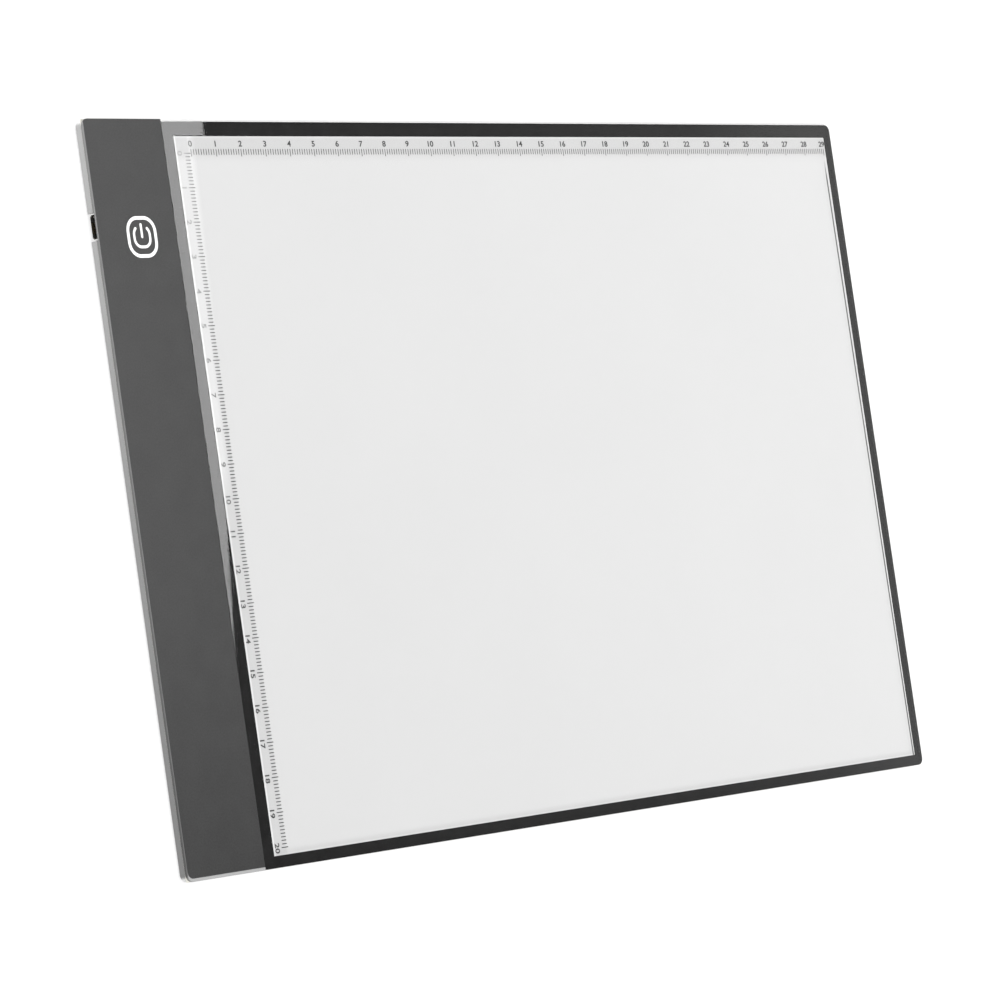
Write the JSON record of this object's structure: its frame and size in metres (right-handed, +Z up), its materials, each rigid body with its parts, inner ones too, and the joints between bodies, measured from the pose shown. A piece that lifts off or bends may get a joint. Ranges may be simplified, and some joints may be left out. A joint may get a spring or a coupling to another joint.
{
  "type": "light box",
  "caption": "Ultra-thin edge-lit tracing light box with a black-bordered window, printed rulers and a touch-key control strip.",
  "frame": {"origin": "centre of the footprint, on the surface that the box lies on", "axes": "+Z up out of the drawing surface, +X away from the control strip, +Y towards the top ruler"},
  "size_m": [0.3348, 0.2154, 0.0036],
  "materials": {
    "tray_plastic": "fine satin moulding, light grey",
    "foot_rubber": "matte black rubber",
    "cover_plastic": "satin mid grey",
    "adhesive_tape": "white tissue tape",
    "strip_film": "fine-grained matte dark grey",
    "white_print": "white screen print",
    "clear_panel": "clear glossy acrylic",
    "black_print": "black print seen through the clear panel",
    "diffuser": "milky white",
    "light_guide": "clear acrylic with extraction dots",
    "reflector": "white reflective film",
    "white_board": "white solder mask",
    "led_plastic": "white moulded package",
    "phosphor": "yellow phosphor",
    "green_board": "green solder mask",
    "steel_shell": "nickel-plated pressed steel",
    "black_plastic": "moulded black",
    "gold_contact": "gold flash",
    "dark_foam": "conductive foam",
    "tinned_metal": "tin-plated",
    "capacitor_ceramic": "tan ceramic",
    "red_insulation": "red insulation",
    "black_insulation": "black insulation"
  },
  "bodies": {
    "root": {"back_cover": "tray_plastic", "anti_slip_feet": "foot_rubber", "control_cover": "cover_plastic", "cover_tape": "adhesive_tape", "panel_tape": "adhesive_tape", "led_tape": "adhesive_tape", "board_tape": "adhesive_tape", "strip_film": "strip_film", "power_mark": "white_print", "front_panel": "clear_panel", "border_print": "black_print", "diffuser_sheet": "diffuser", "light_guide": "light_guide", "reflector_sheet": "reflector", "edge_reflector_top": "reflector", "edge_reflector_bottom": "reflector", "edge_reflector_right": "reflector", "led_board": "white_board", "led_packages": "led_plastic", "led_phosphors": "phosphor", "control_board": "green_board", "usb_shell": "steel_shell", "usb_tongue": "black_plastic", "usb_contacts": "gold_contact", "touch_pad": "gold_contact", "touch_foam": "dark_foam", "touch_chip": "black_plastic", "touch_chip_legs": "tinned_metal", "dimmer_transistor": "black_plastic", "transistor_legs": "tinned_metal", "capacitors": "capacitor_ceramic", "resistors": "black_plastic", "part_terminals": "tinned_metal", "led_lead_positive": "red_insulation", "led_lead_negative": "black_insulation", "solder_joints": "tinned_metal"}
  },
  "joints": []
}
